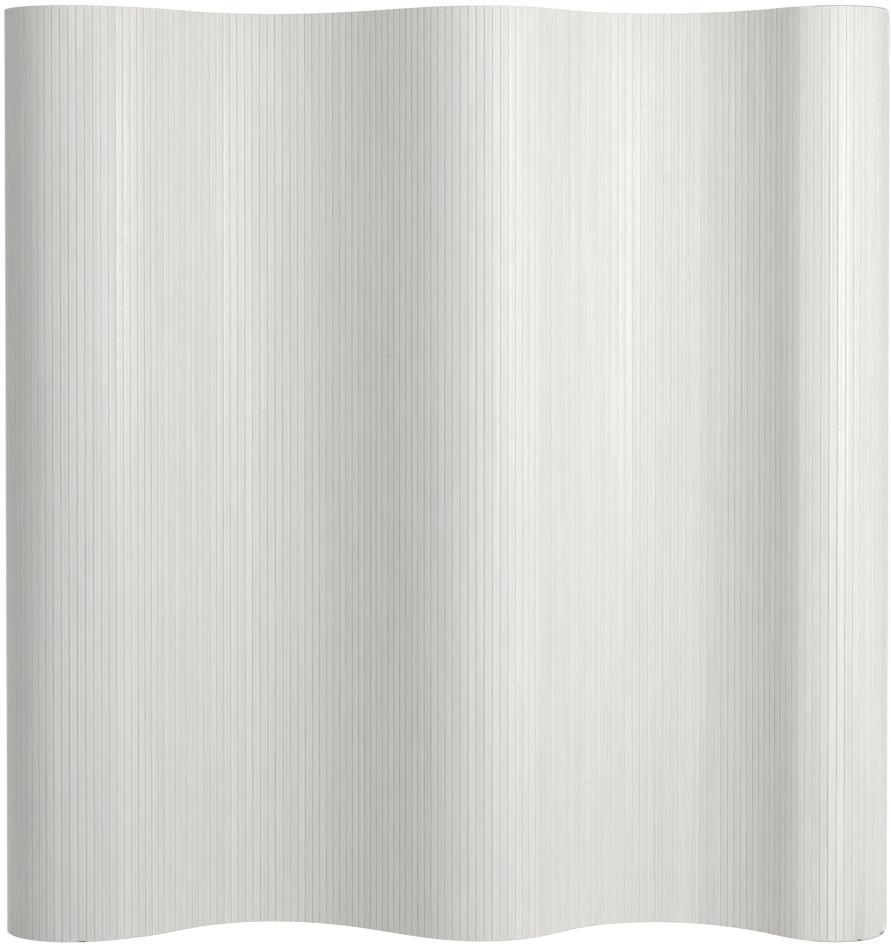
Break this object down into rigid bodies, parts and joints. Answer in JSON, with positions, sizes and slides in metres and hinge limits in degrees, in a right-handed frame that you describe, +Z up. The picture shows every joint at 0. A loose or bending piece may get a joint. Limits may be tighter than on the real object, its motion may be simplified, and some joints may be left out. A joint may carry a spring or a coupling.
{
  "type": "roll-up slatted room divider",
  "caption": "Free-standing room divider screen: narrow upright bamboo slats, painted off-white, on one backing cloth, standing in a wave on their ends; it bends at its seams and rolls up.",
  "frame": {"origin": "middle of the footprint of the standing screen, on the floor", "axes": "+Z up along the slats, +X along the screen to the right as the picture sees it, -Y towards the viewer, who sees the slat fronts; the cloth faces +Y"},
  "size_m": [1.8798, 0.295, 1.95],
  "materials": {
    "painted_bamboo": "thin satin off-white paint over bamboo, grain and nodes showing through",
    "backing_cloth": "plain woven unbleached cloth"
  },
  "bodies": {
    "slats_01": {"slats_01": "painted_bamboo"},
    "slats_02": {"slats_02": "painted_bamboo"},
    "slats_03": {"slats_03": "painted_bamboo"},
    "slats_04": {"slats_04": "painted_bamboo"},
    "slats_05": {"slats_05": "painted_bamboo"},
    "slats_06": {"slats_06": "painted_bamboo"},
    "slats_07": {"slats_07": "painted_bamboo"},
    "slats_08": {"slats_08": "painted_bamboo"},
    "slats_09": {"slats_09": "painted_bamboo"},
    "slats_10": {"slats_10": "painted_bamboo"},
    "slats_11": {"slats_11": "painted_bamboo"},
    "slats_12": {"slats_12": "painted_bamboo"},
    "slats_13": {"slats_13": "painted_bamboo"},
    "slats_14": {"slats_14": "painted_bamboo"},
    "slats_15": {"slats_15": "painted_bamboo"},
    "slats_16": {"slats_16": "painted_bamboo"},
    "slats_17": {"slats_17": "painted_bamboo"},
    "slats_18": {"slats_18": "painted_bamboo"},
    "slats_19": {"slats_19": "painted_bamboo"},
    "slats_20": {"slats_20": "painted_bamboo"},
    "slats_21": {"slats_21": "painted_bamboo"},
    "slats_22": {"slats_22": "painted_bamboo"},
    "slats_23": {"slats_23": "painted_bamboo"},
    "slats_24": {"slats_24": "painted_bamboo"},
    "slats_25": {"slats_25": "painted_bamboo", "backing_cloth": "backing_cloth"},
    "slats_26": {"slats_26": "painted_bamboo"},
    "slats_27": {"slats_27": "painted_bamboo"},
    "slats_28": {"slats_28": "painted_bamboo"},
    "slats_29": {"slats_29": "painted_bamboo"},
    "slats_30": {"slats_30": "painted_bamboo"},
    "slats_31": {"slats_31": "painted_bamboo"},
    "slats_32": {"slats_32": "painted_bamboo"},
    "slats_33": {"slats_33": "painted_bamboo"},
    "slats_34": {"slats_34": "painted_bamboo"},
    "slats_35": {"slats_35": "painted_bamboo"},
    "slats_36": {"slats_36": "painted_bamboo"},
    "slats_37": {"slats_37": "painted_bamboo"},
    "slats_38": {"slats_38": "painted_bamboo"},
    "slats_39": {"slats_39": "painted_bamboo"},
    "slats_40": {"slats_40": "painted_bamboo"},
    "slats_41": {"slats_41": "painted_bamboo"},
    "slats_42": {"slats_42": "painted_bamboo"},
    "slats_43": {"slats_43": "painted_bamboo"},
    "slats_44": {"slats_44": "painted_bamboo"},
    "slats_45": {"slats_45": "painted_bamboo"},
    "slats_46": {"slats_46": "painted_bamboo"},
    "slats_47": {"slats_47": "painted_bamboo"},
    "slats_48": {"slats_48": "painted_bamboo"},
    "slats_49": {"slats_49": "painted_bamboo"},
    "slats_50": {"slats_50": "painted_bamboo"}
  },
  "joints": [
    {"name": "seam_01", "type": "hinge", "parent": "slats_02", "child": "slats_01", "pos_m": [-0.9351, 0.0978, 0.975], "axis": [0, 0, -1], "range_deg": [-8.5, 15.8], "deforming": ["backing_cloth"]},
    {"name": "seam_02", "type": "hinge", "parent": "slats_03", "child": "slats_02", "pos_m": [-0.93442, 0.04806, 0.975], "axis": [0, 0, -1], "range_deg": [-10.3, 10.4], "deforming": ["backing_cloth"]},
    {"name": "seam_03", "type": "hinge", "parent": "slats_04", "child": "slats_03", "pos_m": [-0.92257, -0.00019, 0.975], "axis": [0, 0, -1], "range_deg": [-11.7, 6.5], "deforming": ["backing_cloth"]},
    {"name": "seam_04", "type": "hinge", "parent": "slats_05", "child": "slats_04", "pos_m": [-0.89708, -0.04274, 0.975], "axis": [0, 0, -1], "range_deg": [-12.6, 3.8], "deforming": ["backing_cloth"]},
    {"name": "seam_05", "type": "hinge", "parent": "slats_06", "child": "slats_05", "pos_m": [-0.85865, -0.07405, 0.975], "axis": [0, 0, -1], "range_deg": [-13, 2.9], "deforming": ["backing_cloth"]},
    {"name": "seam_06", "type": "hinge", "parent": "slats_07", "child": "slats_06", "pos_m": [-0.81155, -0.08946, 0.975], "axis": [0, 0, -1], "range_deg": [-12.7, 3.9], "deforming": ["backing_cloth"]},
    {"name": "seam_07", "type": "hinge", "parent": "slats_08", "child": "slats_07", "pos_m": [-0.76198, -0.08771, 0.975], "axis": [0, 0, -1], "range_deg": [-11.6, 7.6], "deforming": ["backing_cloth"]},
    {"name": "seam_08", "type": "hinge", "parent": "slats_09", "child": "slats_08", "pos_m": [-0.71489, -0.07181, 0.975], "axis": [0, 0, -1], "range_deg": [-9.1, 15], "deforming": ["backing_cloth"]},
    {"name": "seam_09", "type": "hinge", "parent": "slats_10", "child": "slats_09", "pos_m": [-0.6709, -0.04847, 0.975], "axis": [0, 0, -1], "range_deg": [-8.6, 17.1], "deforming": ["backing_cloth"]},
    {"name": "seam_10", "type": "hinge", "parent": "slats_11", "child": "slats_10", "pos_m": [-0.6303, -0.0197, 0.975], "axis": [0, 0, -1], "range_deg": [-9, 16.3], "deforming": ["backing_cloth"]},
    {"name": "seam_11", "type": "hinge", "parent": "slats_12", "child": "slats_11", "pos_m": [-0.59444, 0.01482, 0.975], "axis": [0, 0, -1], "range_deg": [-7.3, 21.5], "deforming": ["backing_cloth"]},
    {"name": "seam_12", "type": "hinge", "parent": "slats_13", "child": "slats_12", "pos_m": [-0.56077, 0.05153, 0.975], "axis": [0, 0, -1], "range_deg": [-4.1, 29.9], "deforming": ["backing_cloth"]},
    {"name": "seam_13", "type": "hinge", "parent": "slats_14", "child": "slats_13", "pos_m": [-0.52408, 0.08515, 0.975], "axis": [0, 0, -1], "range_deg": [-2.6, 35], "deforming": ["backing_cloth"]},
    {"name": "seam_14", "type": "hinge", "parent": "slats_15", "child": "slats_14", "pos_m": [-0.48222, 0.11202, 0.975], "axis": [0, 0, -1], "range_deg": [-1.9, 37.4], "deforming": ["backing_cloth"]},
    {"name": "seam_15", "type": "hinge", "parent": "slats_16", "child": "slats_15", "pos_m": [-0.43572, 0.1296, 0.975], "axis": [0, 0, -1], "range_deg": [-1.7, 38.4], "deforming": ["backing_cloth"]},
    {"name": "seam_16", "type": "hinge", "parent": "slats_17", "child": "slats_16", "pos_m": [-0.38647, 0.13644, 0.975], "axis": [0, 0, -1], "range_deg": [-1.7, 38.4], "deforming": ["backing_cloth"]},
    {"name": "seam_17", "type": "hinge", "parent": "slats_18", "child": "slats_17", "pos_m": [-0.33691, 0.1324, 0.975], "axis": [0, 0, -1], "range_deg": [-2.1, 37.6], "deforming": ["backing_cloth"]},
    {"name": "seam_18", "type": "hinge", "parent": "slats_19", "child": "slats_18", "pos_m": [-0.28915, 0.11851, 0.975], "axis": [0, 0, -1], "range_deg": [-2.6, 36.2], "deforming": ["backing_cloth"]},
    {"name": "seam_19", "type": "hinge", "parent": "slats_20", "child": "slats_19", "pos_m": [-0.24447, 0.09659, 0.975], "axis": [0, 0, -1], "range_deg": [-3.3, 34.4], "deforming": ["backing_cloth"]},
    {"name": "seam_20", "type": "hinge", "parent": "slats_21", "child": "slats_20", "pos_m": [-0.2032, 0.06875, 0.975], "axis": [0, 0, -1], "range_deg": [-4.1, 32.3], "deforming": ["backing_cloth"]},
    {"name": "seam_21", "type": "hinge", "parent": "slats_22", "child": "slats_21", "pos_m": [-0.1648, 0.03705, 0.975], "axis": [0, 0, -1], "range_deg": [-4.9, 29.9], "deforming": ["backing_cloth"]},
    {"name": "seam_22", "type": "hinge", "parent": "slats_23", "child": "slats_22", "pos_m": [-0.12809, 0.00338, 0.975], "axis": [0, 0, -1], "range_deg": [-6, 27.3], "deforming": ["backing_cloth"]},
    {"name": "seam_23", "type": "hinge", "parent": "slats_24", "child": "slats_23", "pos_m": [-0.09148, -0.03038, 0.975], "axis": [0, 0, -1], "range_deg": [-6.8, 24.8], "deforming": ["backing_cloth"]},
    {"name": "seam_24", "type": "hinge", "parent": "slats_25", "child": "slats_24", "pos_m": [-0.05337, -0.06243, 0.975], "axis": [0, 0, -1], "range_deg": [-8.3, 20.6], "deforming": ["backing_cloth"]},
    {"name": "seam_25", "type": "hinge", "parent": "slats_25", "child": "slats_26", "pos_m": [-0.01163, -0.08952, 0.975], "axis": [0, 0, 1], "range_deg": [-10.1, 15.6], "deforming": ["backing_cloth"]},
    {"name": "seam_26", "type": "hinge", "parent": "slats_26", "child": "slats_27", "pos_m": [0.03487, -0.10702, 0.975], "axis": [0, 0, 1], "range_deg": [-11.6, 11.5], "deforming": ["backing_cloth"]},
    {"name": "seam_27", "type": "hinge", "parent": "slats_27", "child": "slats_28", "pos_m": [0.08437, -0.11036, 0.975], "axis": [0, 0, 1], "range_deg": [-12.2, 9.9], "deforming": ["backing_cloth"]},
    {"name": "seam_28", "type": "hinge", "parent": "slats_28", "child": "slats_29", "pos_m": [0.13236, -0.09774, 0.975], "axis": [0, 0, 1], "range_deg": [-11.7, 11.9], "deforming": ["backing_cloth"]},
    {"name": "seam_29", "type": "hinge", "parent": "slats_29", "child": "slats_30", "pos_m": [0.17464, -0.07165, 0.975], "axis": [0, 0, 1], "range_deg": [-10, 17], "deforming": ["backing_cloth"]},
    {"name": "seam_30", "type": "hinge", "parent": "slats_30", "child": "slats_31", "pos_m": [0.21063, -0.03728, 0.975], "axis": [0, 0, 1], "range_deg": [-7.8, 23.7], "deforming": ["backing_cloth"]},
    {"name": "seam_31", "type": "hinge", "parent": "slats_31", "child": "slats_32", "pos_m": [0.24317, 0.00042, 0.975], "axis": [0, 0, 1], "range_deg": [-6, 31.7], "deforming": ["backing_cloth"]},
    {"name": "seam_32", "type": "hinge", "parent": "slats_32", "child": "slats_33", "pos_m": [0.27706, 0.03686, 0.975], "axis": [0, 0, 1], "range_deg": [-2.3, 40.4], "deforming": ["backing_cloth"]},
    {"name": "seam_33", "type": "hinge", "parent": "slats_33", "child": "slats_34", "pos_m": [0.31706, 0.06641, 0.975], "axis": [0, 0, 1], "range_deg": [-1.9, 42.2], "deforming": ["backing_cloth"]},
    {"name": "seam_34", "type": "hinge", "parent": "slats_34", "child": "slats_35", "pos_m": [0.36232, 0.08699, 0.975], "axis": [0, 0, 1], "range_deg": [-1.8, 42.9], "deforming": ["backing_cloth"]},
    {"name": "seam_35", "type": "hinge", "parent": "slats_35", "child": "slats_36", "pos_m": [0.41093, 0.09746, 0.975], "axis": [0, 0, 1], "range_deg": [-1.9, 43], "deforming": ["backing_cloth"]},
    {"name": "seam_36", "type": "hinge", "parent": "slats_36", "child": "slats_37", "pos_m": [0.46066, 0.09746, 0.975], "axis": [0, 0, 1], "range_deg": [-2.1, 42.9], "deforming": ["backing_cloth"]},
    {"name": "seam_37", "type": "hinge", "parent": "slats_37", "child": "slats_38", "pos_m": [0.50937, 0.0874, 0.975], "axis": [0, 0, 1], "range_deg": [-2.3, 42.6], "deforming": ["backing_cloth"]},
    {"name": "seam_38", "type": "hinge", "parent": "slats_38", "child": "slats_39", "pos_m": [0.55528, 0.06825, 0.975], "axis": [0, 0, 1], "range_deg": [-2.6, 42.1], "deforming": ["backing_cloth"]},
    {"name": "seam_39", "type": "hinge", "parent": "slats_39", "child": "slats_40", "pos_m": [0.59714, 0.04134, 0.975], "axis": [0, 0, 1], "range_deg": [-2.9, 41.4], "deforming": ["backing_cloth"]},
    {"name": "seam_40", "type": "hinge", "parent": "slats_40", "child": "slats_41", "pos_m": [0.63428, 0.00822, 0.975], "axis": [0, 0, 1], "range_deg": [-3.4, 40.4], "deforming": ["backing_cloth"]},
    {"name": "seam_41", "type": "hinge", "parent": "slats_41", "child": "slats_42", "pos_m": [0.66671, -0.02955, 0.975], "axis": [0, 0, 1], "range_deg": [-4, 38], "deforming": ["backing_cloth"]},
    {"name": "seam_42", "type": "hinge", "parent": "slats_42", "child": "slats_43", "pos_m": [0.69569, -0.07005, 0.975], "axis": [0, 0, 1], "range_deg": [-7.2, 29.7], "deforming": ["backing_cloth"]},
    {"name": "seam_43", "type": "hinge", "parent": "slats_43", "child": "slats_44", "pos_m": [0.72739, -0.1084, 0.975], "axis": [0, 0, 1], "range_deg": [-11.4, 18], "deforming": ["backing_cloth"]},
    {"name": "seam_44", "type": "hinge", "parent": "slats_44", "child": "slats_45", "pos_m": [0.76836, -0.13623, 0.975], "axis": [0, 0, 1], "range_deg": [-14.9, 8.4], "deforming": ["backing_cloth"]},
    {"name": "seam_45", "type": "hinge", "parent": "slats_45", "child": "slats_46", "pos_m": [0.81722, -0.14292, 0.975], "axis": [0, 0, 1], "range_deg": [-16.2, 5.2], "deforming": ["backing_cloth"]},
    {"name": "seam_46", "type": "hinge", "parent": "slats_46", "child": "slats_47", "pos_m": [0.86286, -0.12422, 0.975], "axis": [0, 0, 1], "range_deg": [-14.9, 9.1], "deforming": ["backing_cloth"]},
    {"name": "seam_47", "type": "hinge", "parent": "slats_47", "child": "slats_48", "pos_m": [0.89543, -0.08693, 0.975], "axis": [0, 0, 1], "range_deg": [-12.1, 17.9], "deforming": ["backing_cloth"]},
    {"name": "seam_48", "type": "hinge", "parent": "slats_48", "child": "slats_49", "pos_m": [0.9147, -0.04112, 0.975], "axis": [0, 0, 1], "range_deg": [-8.9, 27.6], "deforming": ["backing_cloth"]},
    {"name": "seam_49", "type": "hinge", "parent": "slats_49", "child": "slats_50", "pos_m": [0.92646, 0.00727, 0.975], "axis": [0, 0, 1], "range_deg": [-6.7, 34.8], "deforming": ["backing_cloth"]}
  ]
}
